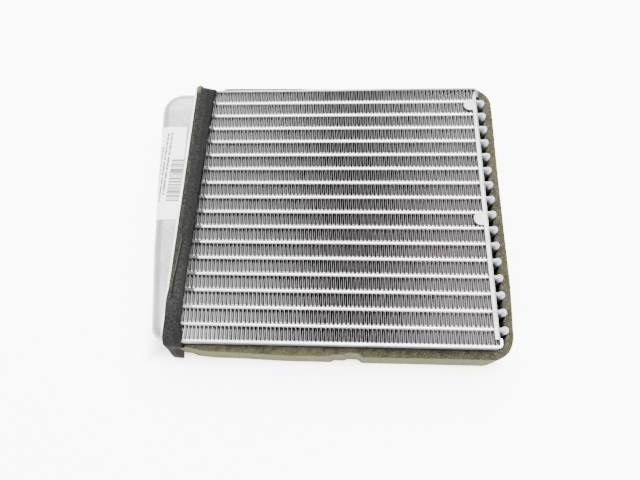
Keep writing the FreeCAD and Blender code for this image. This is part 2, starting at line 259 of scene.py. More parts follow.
def new_group(name, kind, inputs, outputs):
    """A node group. Each of its sockets comes with a default or with the socket's type."""
    tree = bpy.data.node_groups.new(name, kind)
    for side, sockets in (("INPUT", inputs), ("OUTPUT", outputs)):
        for socket_name, value in sockets.items():
            kind = value if isinstance(value, str) else "Float"
            socket = tree.interface.new_socket(socket_name, in_out=side, socket_type="NodeSocket" + kind)
            if kind != value:
                socket.default_value = value
    return tree, tree.nodes.new("NodeGroupInput").outputs, tree.nodes.new("NodeGroupOutput")


def patches_group(name):
    """Slow and fine cloudiness, as on brazed or handled metal."""
    tree, source, result = new_group(
        name, "ShaderNodeTree",
        {"Place": "Vector", "Scale": 60, "Fine Scale": 900, "Fine Share": 0.4}, {"Mask": "Float"})
    slow = clouds(tree, source["Place"], source["Scale"], 3)
    fine = clouds(tree, source["Place"], source["Fine Scale"], 2)
    mixed = out(tree, "ShaderNodeMix", {0: source["Fine Share"], 2: slow, 3: fine})
    feed(result, {"Mask": ramp(tree, mixed, 0.36, 0.64)})
    return tree


def rolling_group(name):
    """Fine lines along X, as rolling leaves in sheet metal."""
    tree, source, result = new_group(
        name, "ShaderNodeTree", {"Place": "Vector", "Lines": 2500, "Stretch": 0.03}, {"Height": "Float"})
    parts = put(tree, "ShaderNodeSeparateXYZ", {0: source["Place"]}).outputs
    vector = combined(tree, product(tree, parts[0], source["Stretch"]), parts[1], parts[2])
    feed(result, {"Height": clouds(tree, vector, source["Lines"], 2)})
    return tree


def cells_group(name):
    """Open foam cells: their height, their dark pores and the few walls that catch the light."""
    tree, source, result = new_group(
        name, "ShaderNodeTree", {"Place": "Vector", "Cells": 1400, "Glints": 0.5},
        dict.fromkeys(("Height", "Pores", "Glint", "Cloud"), "Float"))
    cells = put(tree, "ShaderNodeTexVoronoi", {"Vector": source["Place"], "Scale": source["Cells"]})
    rough_cells = clouds(tree, source["Place"], product(tree, source["Cells"], 0.6), 4, 0.7)
    height = sums(tree, "MULTIPLY_ADD", cells.outputs["Distance"], 0.6, rough_cells)
    chance = out(tree, "ShaderNodeSeparateColor", {0: cells.outputs["Color"]})
    lit = ramp(tree, chance, sums(tree, "SUBTRACT", 1, source["Glints"]), 1)
    edge = ramp(tree, cells.outputs["Distance"], 0.42, 0.15)
    cloud = clouds(tree, source["Place"], product(tree, source["Cells"], 0.12), 3)
    feed(result, {
        "Height": height, "Pores": ramp(tree, height, 0.95, 0.6), "Glint": product(tree, lit, edge),
        "Cloud": ramp(tree, cloud, 0.35, 0.65)})
    return tree


SHARED_GROUPS = {"Cloudy Patches": patches_group, "Rolling Lines": rolling_group, "Foam Cells": cells_group}


def group_in(tree, name, inputs):
    """Adds a shared node group, which is built when it is first needed."""
    node = tree.nodes.new("ShaderNodeGroup")
    node.node_tree = bpy.data.node_groups.get(name) or SHARED_GROUPS[name](name)
    return feed(node, inputs).outputs


def patches(tree, place, scale, fine_scale=900, fine_share=0.4):
    return group_in(
        tree, "Cloudy Patches",
        {"Place": place, "Scale": scale, "Fine Scale": fine_scale, "Fine Share": fine_share})["Mask"]


def new_material(name, settings):
    """A material, its tree, its surface, its Object coordinates and those as X, Y and Z in millimetres."""
    material = bpy.data.materials.new(name)
    material.use_nodes = True
    tree = material.node_tree
    tree.nodes.clear()
    surface = put(tree, "ShaderNodeBsdfPrincipled", settings)
    put(tree, "ShaderNodeOutputMaterial", {"Surface": surface.outputs[0]})
    place = put(tree, "ShaderNodeTexCoord").outputs["Object"]
    axes = put(tree, "ShaderNodeSeparateXYZ", {0: times(tree, place, 1 / MM)}).outputs
    return material, tree, surface, place, *axes


def bump(tree, surface, height, strength, depth):
    feed(surface, {"Normal": out(
        tree, "ShaderNodeBump", {"Height": height, "Strength": strength, "Distance": depth * MM})})


def sheet_metal(name, tone, roughness, shade=0.85, lines=0.25, patch_scale=60, side_shade=None,
                side_soft=0.5, outer_edge=None, side_metal=1, right_shade=None):
    """Rolled or pressed aluminium with faint lines and cloudy patches, and painted shade on its sides."""
    material, tree, surface, place, x, y, z = new_material(name, {"Metallic": 1})
    mask = patches(tree, place, patch_scale)
    height = group_in(tree, "Rolling Lines", {"Place": place})["Height"]
    base = blend(tree, mask, scaled(tone, shade), tone)
    # Painted shade on the faces below the front face
    if side_shade is not None:
        face = HALF_DEPTH - 0.1
        side = ramp(tree, distance(tree, z, MIDDLE_HEIGHT), face - side_soft, face, 1, 0)
        base = blend(tree, side, base, side_shade)
        feed(surface, {"Metallic": ramp(tree, side, 0, 1, 1, side_metal)})
        # Painted shade on the outer part of the top
        if outer_edge is not None:
            outer = ramp(tree, sums(tree, "ABSOLUTE", y), outer_edge - 0.7, outer_edge - 0.2)
            base = dimmed(tree, base, outer, 0.5)
    if right_shade is not None:
        base = dimmed(tree, base, x, right_shade, -10, 50)
    feed(surface, {
        "Base Color": base, "Roughness": ramp(tree, mask, 0, 1, roughness + 0.08, roughness - 0.05)})
    bump(tree, surface, height, lines, 0.05)
    return material


def tube_metal(tone, bulb_tone, residue_and_shade):
    """Bright aluminium, darker and satin for a few millimetres beside the header, with flux left from brazing
    and painted shade of the foam belt.
    """
    material, tree, surface, place, x, y, z = new_material("Bright tube aluminium", {"Metallic": 1})
    mask = patches(tree, place, 90, 1500, 0.5)
    # Flux left from brazing and painted shade of the foam belt, a few millimetres beside the header
    ragged = sums(tree, "MULTIPLY_ADD", mask, 0.8, x)
    darkened = ramp(tree, ragged, HEADER + 5.6, HEADER + 6.5, 1, 0)
    darkened = product(tree, darkened, ramp(tree, y, -76, -58))
    bright = blend(tree, mask, scaled(tone, 0.93), tone)
    from_middle = distance(tree, z, MIDDLE_HEIGHT)
    # Painted shade on the tubes' rounded edges and on their walls between the fins
    bright = times(tree, bright, ramp(tree, from_middle, HALF_DEPTH - 1, HALF_DEPTH - 0.3, 0.3, 1))
    at_bulb = ramp(tree, x, END_FACE - 0.2, END_FACE + 0.2)
    # Painted shade on each bulb's side below its dome, darker lower down
    below_dome = dimmed(tree, bulb_tone, z, 0.12, FRONT_FACE - 2.2, FRONT_FACE - 6)
    bright = blend(tree, at_bulb, bright, below_dome)
    # Painted shade in the slot between the end plate and each bulb
    neck = inside(tree, x, END_FACE - 0.1, END_FACE + 1.2)
    bright = blend(tree, neck, bright, scaled(tone, 0.35))
    satin = sums(tree, "MAXIMUM", darkened, at_bulb)
    feed(surface, {
        "Base Color": blend(tree, darkened, bright, residue_and_shade),
        "Roughness": ramp(tree, satin, 0, 1, 0.34, 0.65),
        "Metallic": ramp(tree, satin, 0, 1, 1, 0.35)})
    bump(tree, surface, mask, 0.35, 0.06)
    return material


def fin_metal(tone, edge_tone, crest_tone, half_depth):
    """Thin aluminium with rows of louvres across each fold."""
    material, tree, surface, place, x, y, z = new_material(
        "Fin aluminium", {"Metallic": 1, "Roughness": 0.38})
    mask = patches(tree, place, 45, 700, 0.35)
    base = blend(tree, mask, scaled(tone, 0.82), tone)
    louvre_pitch = 1.1
    louvres = sums(tree, "PINGPONG", z, louvre_pitch / 2)
    slope = ramp(tree, louvres, 0.05, 0.5)
    from_first = sums(tree, "SUBTRACT", y, FIRST_TUBE)
    louvred = ramp(tree, sums(tree, "PINGPONG", from_first, TUBE_PITCH / 2), 1.7, 2.1)
    # Painted shade: dark louvre slots on the plain sheet, for the shade seen through them
    slots = product(tree, louvred, ramp(tree, louvres, 0.12, 0.05))
    base = blend(tree, slots, base, scaled(tone, 0.12))

    # From the middle of a tube, at 0, to the middle of the next one, at 1
    across = sums(tree, "FRACT", sums(tree, "DIVIDE", from_first, TUBE_PITCH))
    # Painted highlight: the fold faces by the near tube are painted brighter, as crests that catch the light
    by_near_tube = ramp(tree, across, 0.20, 0.14)
    base = blend(tree, by_near_tube, base, scaled(tone, 2.5))
    # Painted light: the cut edges are painted lighter than the faces, and nearly white by the near tube as
    # highlights
    edge = ramp(tree, distance(tree, z, MIDDLE_HEIGHT), half_depth - 0.25, half_depth - 0.1)
    base = blend(tree, edge, base, blend(tree, by_near_tube, edge_tone, crest_tone))

    # Every second fold opens its louvres to the camera; it is painted with shade, most of all by its far
    # tube, and the other folds a little lighter
    shaded_fold = put(tree, "ShaderNodeAttribute", attribute_name="open_louvres").outputs["Fac"]
    by_far_tube = product(
        tree, shaded_fold, ramp(tree, across, 0.64, 0.80), ramp(tree, y, 55, 78, 1, 0.5),
        ramp(tree, x, -10, 70, 1, 0.5))
    base = dimmed(tree, base, by_far_tube, 0.12)
    dim_middle = 20
    from_middle = distance(tree, x, dim_middle)
    contrast = ramp(tree, from_middle, 5, 50, 0.2, 0.45)
    side = ramp(tree, shaded_fold, 0, 1, 0.5, -0.5)
    base = times(tree, base, sums(tree, "MULTIPLY_ADD", side, contrast, 1.12))

    # Slow changes over the core's face, at places read from the photo
    # Painted light and shade: lighter towards the near and the far side and away from the middle, darker
    # about the middle
    lit = sums(tree, "MULTIPLY_ADD", ramp(tree, from_middle, 5, 60), 0.22, 0.36)
    base = times(tree, base, sums(tree, "MULTIPLY_ADD", ramp(tree, y, -15, -80), lit, 1))
    base = dimmed(tree, base, y, 1.35, 20, 70)
    base = dimmed(tree, base, from_middle, 0.78, 60, 5)
    # Painted highlight on the first folds at the near left corner
    corner = product(tree, ramp(tree, x, -40, -75), ramp(tree, y, -74, -78))
    base = dimmed(tree, base, corner, 1.6)
    base = dimmed(tree, base, x, 0.3, FIN_END - 0.2, FIN_END + 0.2)
    warm = product(tree, ramp(tree, x, -55, 5), ramp(tree, y, 60, -10))
    tint = blend(tree, warm, (0.985, 1, 0.99), (1.02, 0.94, 0.98))
    base = out(tree, "ShaderNodeVectorMath", {0: base, 1: tint}, operation="MULTIPLY")
    # Flux left from brazing and painted shade of the foam belt darken the fins for a few millimetres beside
    # the header
    ragged = sums(tree, "MULTIPLY_ADD", mask, 1.5, x)
    darkened = ramp(tree, ragged, HEADER + 3.5, HEADER + 7.5, 1, 0)
    darkened = product(tree, darkened, ramp(tree, y, -74, -50))
    feed(surface, {"Base Color": dimmed(tree, base, darkened, 0.6)})
    bump(tree, surface, product(tree, slope, louvred), 0.8, 0.35)
    return material


def charcoal_foam(tone, side_shade, worn, pale, crease):
    """Dark open foam, faded along its left edge up to the crease at this place."""
    material, tree, surface, place, x, y, _ = new_material(
        "Charcoal foam", {"Roughness": 0.92, "Specular IOR Level": 0.04})
    cells = group_in(tree, "Foam Cells", {"Place": place, "Cells": 1500, "Glints": 0.25})
    ragged = sums(tree, "MULTIPLY_ADD", cells["Cloud"], 1.2, x)
    faded = product(
        tree, ramp(tree, ragged, crease - 0.1, crease + 1.3, 1, 0.12), ramp(tree, y, -73, -44))
    base = blend(tree, faded, tone, worn)
    base = blend(tree, 0.3, base, blend(tree, cells["Cloud"], base, worn))
    base = blend(tree, cells["Pores"], base, scaled(tone, 0.35))
    base = blend(tree, product(tree, cells["Glint"], 0.5), base, scaled(worn, 2.2))
    # Painted shade on the belt's two side faces
    base = blend(tree, ramp(tree, sums(tree, "ABSOLUTE", y), 85, 87.5), base, side_shade)
    over_core = ramp(tree, x, HEADER - 2, HEADER - 0.4, 0, 0.6)
    base = blend(tree, over_core, base, scaled(tone, 0.5))

    # The crease slants near the near end, with a painted highlight as a pale streak on its left and painted
    # shade in its groove
    slanted = ramp(tree, y, -56, -24, crease - 0.3, crease + 1.3)
    from_crease = sums(tree, "SUBTRACT", x, slanted)
    streak = product(
        tree, inside(tree, from_crease, -0.75, -0.25, 0.2), inside(tree, y, -46, -24, 2))
    groove = product(
        tree, inside(tree, from_crease, -0.15, 0.65, 0.2), inside(tree, y, -60, -26, 3))
    base = dimmed(tree, base, groove, 0.3)
    base = times(tree, base, ramp(tree, y, -15, -60, 1.1, 1.45))
    base = dimmed(tree, base, y, 0.8, -62, -75)
    far_strip = product(
        tree, ramp(tree, x, crease, crease + 0.5, 1, 0), ramp(tree, y, 79.5, 83))
    light = sums(tree, "MAXIMUM", far_strip, product(tree, streak, 0.5))
    feed(surface, {"Base Color": blend(tree, light, base, pale)})
    bump(tree, surface, cells["Height"], 0.7, 0.4)
    return material


def olive_foam(cut_tone, soiled_tone, glint_tone, skin_tone):
    """Olive foam: dark speckled cells on its cut faces and a smoother khaki skin outside."""
    material, tree, surface, place, x, *_ = new_material("Olive foam", {"Specular IOR Level": 0.04})
    cut = put(tree, "ShaderNodeAttribute", attribute_name="cut_face").outputs["Fac"]
    cells = group_in(tree, "Foam Cells", {"Place": place, "Cells": 1800, "Glints": 0.4})
    soiled = blend(tree, ramp(tree, x, 0, 50), cut_tone, soiled_tone)
    open_cells = dimmed(tree, soiled, cells["Pores"], 0.4)
    open_cells = blend(tree, cells["Cloud"], open_cells, times(tree, soiled, 1.3))
    open_cells = blend(tree, product(tree, cells["Glint"], 0.8), open_cells, glint_tone)
    skin = blend(tree, patches(tree, place, 70, 1300, 0.5), scaled(skin_tone, 0.8), skin_tone)
    feed(surface, {
        "Base Color": blend(tree, cut, skin, open_cells), "Roughness": ramp(tree, cut, 0, 1, 0.75, 0.95)})
    bump(tree, surface, product(tree, cells["Height"], ramp(tree, cut, 0, 1, 0.25, 1)), 0.7, 0.4)
    return material


def label_paper(tone, bar_tone):
    """White paper with plain grey bars: thin broken long ones and a block of short ones."""
    material, tree, surface, place, x, y, _ = new_material("Label paper", {"Roughness": 0.55})
    corner = box("label")[1]

    def printed(right, left, start, end):
        """1 on a rectangle that is measured from the label's far right corner."""
        return product(
            tree, inside(tree, x, corner.x - left, corner.x - right),
            inside(tree, y, corner.y - end, corner.y - start))

    def along(scale, offset, detail):
        place_along = sums(tree, "MULTIPLY_ADD", y, scale, offset)
        return out(
            tree, "ShaderNodeTexNoise", {"W": place_along, "Scale": 1, "Detail": detail},
            noise_dimensions="1D")

    bars = ramp(tree, along(0.9, 0, 0), 0.44, 0.52, 0.25, 1)
    total = product(tree, printed(1, 9.3, 24.5, 54.5), bars)
    for from_right, start, end in ((16.6, 14, 59), (14, 5, 55), (11.6, 4, 50)):
        dashes = ramp(tree, along(0.65, from_right, 1), 0.32, 0.42)
        line = product(tree, printed(from_right - 0.65, from_right + 0.65, start, end), dashes)
        total = sums(tree, "MAXIMUM", total, line)
    mask = patches(tree, place, 200, 4000, 0.6)
    paper = blend(tree, mask, scaled(tone, 0.97), tone)
    feed(surface, {"Base Color": blend(tree, total, paper, bar_tone)})
    bump(tree, surface, mask, 0.15, 0.02)
    return material


# Meshes

def folded_fin_tree():
    """A sheet folded to and fro between two tubes, as a geometry node tree."""
    lengths = (
        "Length", "Height", "Depth", "Sheet", "Crest Width", "Crest Radius", "Braze", "Unevenness", "Lean")
    tree, source, result = new_group(
        "Folded Fin", "GeometryNodeTree",
        {"Geometry": "Geometry", "Corner": "Vector", "Waves": "Int", **dict.fromkeys(lengths, "Float"),
         "Seed": "Int", "Material": "Material"},
        {"Geometry": "Geometry"})
    folds = product(tree, source["Waves"], 2)
    step = sums(tree, "DIVIDE", source["Length"], folds)
    points = out(tree, "GeometryNodeMeshLine", {"Count": sums(tree, "MULTIPLY_ADD", folds, 2, 2)})

    # Two points for each crest, at its two ends; every second crest is on the far tube
    index = out(tree, "GeometryNodeInputIndex")
    crest = sums(tree, "FLOOR", sums(tree, "DIVIDE", index, 2))
    far = sums(tree, "MODULO", crest, 2)
    end = sums(tree, "MODULO", index, 2)
    chance = put(
        tree, "FunctionNodeRandomValue",
        {2: product(tree, source["Unevenness"], -1), 3: source["Unevenness"], "ID": crest,
         "Seed": source["Seed"]}).outputs[1]
    near_start = out(tree, "ShaderNodeMapRange", {0: crest, 1: 0, 2: 8, 3: 1, 4: 0})
    lean = product(tree, near_start, far, source["Lean"])
    even = sums(
        tree, "MULTIPLY_ADD", sums(tree, "SUBTRACT", end, 0.5), source["Crest Width"],
        product(tree, crest, step))
    along = sums(tree, "ADD", even, sums(tree, "ADD", chance, lean))
    along = sums(tree, "MINIMUM", sums(tree, "MAXIMUM", along, 0), source["Length"])
    spot = combined(tree, along, product(tree, far, source["Height"]))
    spot = out(tree, "ShaderNodeVectorMath", {0: spot, 1: source["Corner"]}, operation="ADD")
    bent = out(tree, "GeometryNodeSetPosition", {"Geometry": points, "Position": spot})
    # Marks every second fold, which the fin material paints with shade
    marked = out(
        tree, "GeometryNodeStoreNamedAttribute",
        {"Geometry": bent, "Name": "open_louvres", "Value": distance(tree, far, end)})
    curve = out(tree, "GeometryNodeMeshToCurve", {0: marked})
    rounded = out(
        tree, "GeometryNodeFilletCurve",
        {0: curve, 1: 2, "Radius": source["Crest Radius"], "Limit Radius": True}, mode="POLY")
    upright = out(tree, "GeometryNodeSetCurveNormal", {0: rounded}, mode="Z_UP")
    section = out(tree, "GeometryNodeCurvePrimitiveQuadrilateral", {0: source["Sheet"], 1: source["Depth"]})
    sheet = out(
        tree, "GeometryNodeCurveToMesh", {"Curve": upright, "Profile Curve": section, "Fill Caps": True})

    # A wedge of braze at each crest on the near tube
    first, near = sums(tree, "SUBTRACT", 1, end), sums(tree, "SUBTRACT", 1, far)
    near_crests = out(
        tree, "GeometryNodeSeparateGeometry", {"Geometry": bent, "Selection": product(tree, first, near)})
    wedge = out(
        tree, "GeometryNodeMeshCone",
        {"Vertices": 3, "Radius Top": source["Braze"], "Radius Bottom": source["Braze"],
         "Depth": source["Depth"]})
    middle = combined(
        tree, product(tree, source["Crest Width"], 0.5), product(tree, source["Braze"], 0.4),
        product(tree, source["Depth"], -0.5))
    wedge = out(
        tree, "GeometryNodeTransform",
        {"Geometry": wedge, "Translation": middle, "Rotation": (0, 0, math.pi / 2)})
    brazed = out(tree, "GeometryNodeInstanceOnPoints", {"Points": near_crests, "Instance": wedge})
    joined = put(tree, "GeometryNodeJoinGeometry", {0: sheet})
    feed(joined, {0: brazed})
    real = out(tree, "GeometryNodeRealizeInstances", {0: joined.outputs[0]})
    finished = out(tree, "GeometryNodeSetMaterial", {0: real, "Material": source["Material"]})
    feed(result, {"Geometry": finished})
    return tree


def new_object(name, data):
    thing = bpy.data.objects.new(name, data)
    bpy.context.collection.objects.link(thing)
    return thing


def grown_mesh(name, tree, values):
    """The plain mesh that a geometry node tree gives for these inputs."""
    carrier = new_object(name + "_carrier", bpy.data.meshes.new(name + "_carrier"))
    modifier = carrier.modifiers.new(name, "NODES")
    modifier.node_group = tree
    for item in tree.interface.items_tree:
        if item.item_type == "SOCKET" and item.in_out == "INPUT" and item.name in values:
            modifier[item.identifier] = values[item.name]
    graph = bpy.context.evaluated_depsgraph_get()
    mesh = bpy.data.meshes.new_from_object(carrier.evaluated_get(graph))
    bpy.data.objects.remove(carrier)
    mesh.name = name
    return mesh


def add_piece(name, mesh, material, slot, *nodes):
    """Puts a mesh in the scene as a piece that stands for some of the solids."""
    piece = new_object(name, mesh)
    if material is not None:
        mesh.materials.clear()
        mesh.materials.append(material)
    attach(piece, "root")
    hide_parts(*nodes)
    return piece


def give_finish(material, *nodes):
    """Puts a material on solids that are shown as they are."""
    for node in nodes:
        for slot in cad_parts[node].material_slots:
            slot.material = material


def swept_mesh(name, sections, closed, cut_values=None):
    """A mesh through sections in millimetres, closed in a ring or by an end at each side."""
    mesh = bpy.data.meshes.new(name)
    shape = bmesh.new()
    mark = shape.verts.layers.float.new("cut_face") if cut_values else None
    rows = [[shape.verts.new(point * MM) for point in section] for section in sections]
    for row, values in zip(rows, cut_values or ()):
        for vertex, value in zip(row, values):
            vertex[mark] = value
    count = len(rows[0])
    for here, following in zip(rows, rows[1:] + rows[:1] if closed else rows[1:]):
        for place in range(count):
            shape.faces.new((here[place - 1], here[place], following[place], following[place - 1]))
    if not closed:
        shape.faces.new(rows[0])
        shape.faces.new(rows[-1])
    bmesh.ops.recalc_face_normals(shape, faces=shape.faces)
    for face in shape.faces:
        face.smooth = True
    shape.to_mesh(mesh)
    shape.free()
    return mesh


def corner_points(middle, radius, start_angle, count):
    """Points on a quarter circle, not including its end."""
    angles = (start_angle + math.pi / 2 * n / count for n in range(count))
    return [middle + radius * Vector((math.cos(angle), math.sin(angle))) for angle in angles]


def paired_paths(corners, radii, step, closed):
    """Matching points along two paths that turn left at their corners, each with its own radius."""
    paths = [], []
    arc_count = max(6, round(radii[0] * math.pi / 2 / step))
    legs = list(zip(corners, corners[1:] + corners[:1]))
    for number, leg in enumerate(legs if closed else legs[:-1]):
        ahead = (leg[1][0] - leg[0][0]).normalized()
        left = Vector((-ahead.y, ahead.x))
        count = 0
        for path, start, end, radius in zip(paths, *leg, radii):
            if closed or number > 0:
                middle = start + radius * (ahead + left)
                path += corner_points(middle, radius, math.atan2(-ahead.y, -ahead.x), arc_count)
                start = start + radius * ahead
            if closed or number < len(legs) - 2:
                end = end - radius * ahead
            count = count or max(1, round((end - start).length / step))
            path += [start.lerp(end, n / count) for n in range(count)]
    if not closed:
        for path, end in zip(paths, corners[-1]):
            path.append(end)
    return paths


def rough(point, scale, seed):
    """Seeded noise from -1 to 1 at a place in millimetres, with its scale as so many to a metre."""
    return noise.noise(Vector(point) * (scale * MM) + Vector((seed * 17.3, seed * 5.1, seed * 9.7)))


def eased(value, start, end):
    share = min(1.0, max(0.0, (value - start) / (end - start)))
    return share * share * (3 - 2 * share)


def hump(value, middle, width, power=2):
    """1 at a middle, falling to 0 on both sides."""
    return math.exp(-((value - middle) / width) ** power)


def belt_mesh(sizes):
    """The foam belt round the pan, with its crease, its worn edges and its slanted joint."""
    low, high = box("header_foam_belt")
    half_width, half_height = (high.y - low.y) / 2, (high.z - low.z) / 2
    thickness, outer_corner, inner_corner, round_edge = 2.4, 6.0, 7.6, 0.75
    core_width, core_height = 85.6, 16.3
    corners = [
        [Vector((side * (half_width - inset), up * (half_height - inset))) for inset in (0, thickness)]
        for side, up in ((1, 1), (-1, 1), (-1, -1), (1, -1))]
    paths = paired_paths(corners, (outer_corner, inner_corner), sizes.step, True)
    across_count, through_count = 14, 4
    places = [
        *((n / across_count, 0.0, "outer") for n in range(across_count + 1)),
        *((1.0, n / through_count, "right") for n in range(1, through_count)),
        *((1.0 - 2 * n / across_count, 1.0, "inner") for n in range(across_count // 2 + 1)),
        *((0.0, 1.0 - n / through_count, "left") for n in range(1, through_count)),
    ]
    sections = []
    for out_point, in_point in zip(*paths):
        y, height = out_point.x, out_point.y + half_height
        outward = (out_point - in_point).normalized()
        over_core = in_point.copy()
        if abs(in_point.x) < core_width and abs(in_point.y) < core_height:
            over_core += outward * min(
                (core_width - abs(in_point.x)) / max(abs(outward.x), 0.001),
                (core_height - abs(in_point.y)) / max(abs(outward.y), 0.001))

        # The right edge, which laps over the core, and the left one, as read from the photo
        lap = sizes.belt_lap * eased(y, 0.5 - half_width, 2.5 - half_width) * eased(height, 28, 33)
        lap *= eased(y, half_width + 2, half_width - 3)
        place = y / half_width
        reach = 0.24 - 0.40 * eased(place, -0.15, -0.45) + 0.64 * eased(place, -0.86, -0.97)
        reach += 0.76 * eased(place, -0.1, 1.0)
        right = high.x + lap * reach + sizes.belt_wander * rough((0, y, height), 160, 1)
        right += 1.3 * hump(y, half_width - 2.5, 3) * eased(height, 25, 33)
        left = low.x + 0.6 * sizes.belt_wander * rough((0, y, height), 130, 2) - 0.7 * hump(y, -64, 9)
        if y < inner_corner - half_width:
            right = min(right, HEADER - 2 + 0.38 * (height - 14))
            right = max(right - 3.0 * eased(height, 16, 0) - max(0.0, 5 - height), left + 1)

        near = eased(y, 7 - half_width, 1 - half_width)
        bulge = sizes.belt_bulge * near * eased(height, 37, 12)
        pressed = sizes.belt_pressed * near * eased(height, 6, 9) * eased(height, 31, 28.5)
        crease_place = left + sizes.belt_crease + eased(y, 0, -20) * (1.6 * eased(y, -56, -24) - 0.3)
        section = []
        for across, through, face in places:
            x = left + across * (right - left)
            spot = out_point.lerp(over_core if x > HEADER - 0.2 else in_point, through)
            if face != "inner":
                cut_in = round_edge - min(x - left, right - x)
                if face == "outer" and cut_in > 0:
                    arc = math.sqrt(max(0.0, round_edge ** 2 - cut_in ** 2))
                    spot = spot - outward * (round_edge - arc) * 0.8
                crease = hump(x, crease_place, 0.45) * (1 + 1.2 * hump(y, -36, 20, 4))
                far_tip = eased(y, half_width - 9, half_width - 5)
                lift = -sizes.belt_crease_depth * crease - 0.15 * eased(crease_place - x, -0.4, 0.6)
                lift += sizes.belt_tip * far_tip * eased(left + 2.6 - x, -0.3, 0.3)
                lift -= 1.4 * eased(y, half_width - 8, half_width - 1) * eased(across, 0.2, 1.0)
                for waviness, scale, seed in ((0.22, 90, 3), (0.12, 420, 4), (0.07, 1300, 5)):
                    lift += waviness * rough((x, y, height), scale, seed)
                spot = spot + outward * (lift * (1 - through))
                under_strip = eased(x, HEADER - 4.2, HEADER - 2.4)
                pushed = bulge * (1 - under_strip * eased(height, 4, 9))
                spot = spot + outward * (
                    pushed * (1 - through * 0.3) - pressed * under_strip * (1 - through))
            if face in ("left", "right"):
                x += 0.12 * rough((through * 3, y, height), 900, 6)
            section.append(Vector((x, spot.x, max(ABOVE_FLOOR, spot.y + half_height))))
        sections.append(section)
    return swept_mesh("header_foam_belt_piece", sections, True)


def strip_paths(low, high, sizes):
    """Matching points along the strip's outer face and its seat, from the near end round to the far end."""
    side_thickness, end_thickness, outer_corner, inner_corner = 5.2, 4.9, 14, 8
    seat, end_seat = high.y - side_thickness, high.x - end_thickness
    tip, far_start = low.x - sizes.strip_tip, HEADER + 8
    corners = [[Vector(corner) for corner in pair] for pair in (
        ((tip, -high.y), (tip, -seat)), ((high.x, -high.y), (end_seat, -seat)),
        ((high.x, high.y), (end_seat, seat)), ((far_start, high.y), (far_start, seat)))]
    return paired_paths(corners, (outer_corner, inner_corner), 1.3 * sizes.step, False)


def dent(x):
    """How far the near run is pressed in at a place along it, deeper to the right of its step."""
    step_from_header = 93.7
    along = x - HEADER - step_from_header
    deep = 2.0 * eased(along, -0.6, 0.6) * eased(along, 10.4, 6.6)
    return deep + 1.1 * eased(along, -8.6, -7.3) * eased(along, 0.6, -0.6)


def strip_mesh(sizes):
    """The foam strip along the near side, round the bulbs and back along the far side."""
    low, high = box("edge_foam_strip")
    height = high.z - low.z
    across, down, up = 8, 22, 9
    places = [
        *((1.0 - n / across, 1.0, "top") for n in range(across + 1)),
        *((0.0, 1.0 - n / down, "outer") for n in range(1, down + 1)),
        *((2 * n / across, 0.0, "bottom") for n in range(1, across // 2 + 1)),
        *((1.0, n / up, "inner") for n in range(1, up)),
    ]
    round_edge, soft_edge = 0.6, 1.6
    sections, cuts = [], []
    for out_point, in_point in zip(*strip_paths(low, high, sizes)):
        outward = (out_point - in_point).normalized()
        thickness = (out_point - in_point).length
        from_header = out_point.x - HEADER
        base, top = low.z, high.z
        slim = slim_tip = on_belt = 0.0
        if out_point.y < low.y + 1:
            slim = 1.25 * eased(from_header, 66, 22) + dent(out_point.x)
            slim_tip = eased(from_header, 16, 0)
            on_belt = eased(from_header, 2.2, 1.2)
            base += 10 * eased(from_header, 3.2, 0)
        if out_point.y > high.y - 1:
            top += sizes.far_rise * eased(out_point.x, 20, -35)
        end_run = max(0.0, outward.x) ** 2
        slim += end_run * (1.2 * eased(out_point.y, -45, -80) - 0.6 * eased(out_point.y, 20, 70))
        from_bulb = 0.5 - 0.5 * math.cos(2 * math.pi * (in_point.y - FIRST_TUBE) / TUBE_PITCH)
        seat = in_point + outward * (2.1 * on_belt - sizes.swell * from_bulb * end_run)
        section, cut = [], []
        for through, share, face in places:
            z = base + share * (top - base)
            squeeze = slim + slim_tip * (0.9 + 1.3 * share)
            squeeze += on_belt * (2.6 - squeeze)
            spot = (out_point - outward * squeeze).lerp(seat, through)
            slow = rough((spot.x, spot.y, z), 28, 11) * (1 - through)
            spot = spot + outward * sizes.skin_wave * (slow - 0.6 * (1 - through) * abs(slow))
            if face == "top":
                for bumps, scale, seed in (
                        (sizes.cut_roughness, 700, 12), (0.8 * sizes.cut_roughness, 1500, 13), (0.3, 60, 14)):
                    z += bumps * rough((spot.x, spot.y, 0), scale, seed)
                z -= 0.5 * max(0.0, round_edge - min(through, 1 - through) * thickness)
            if face == "outer":
                for from_edge in ((1 - share) * height, share * height):
                    spot = spot - outward * 0.35 * max(0.0, 1 - from_edge / soft_edge)
                spot = spot + outward * 0.05 * rough((spot.x, spot.y, z), 600, 15)
            section.append(Vector((spot.x, spot.y, max(ABOVE_FLOOR, z))))
            cut.append({"top": 1 - 0.5 * (1 - through) ** 2, "bottom": 1.0}.get(face, 0.0))
        sections.append(section)
        cuts.append(cut)
    return swept_mesh("edge_foam_strip_piece", sections, False, cuts)


# Operators

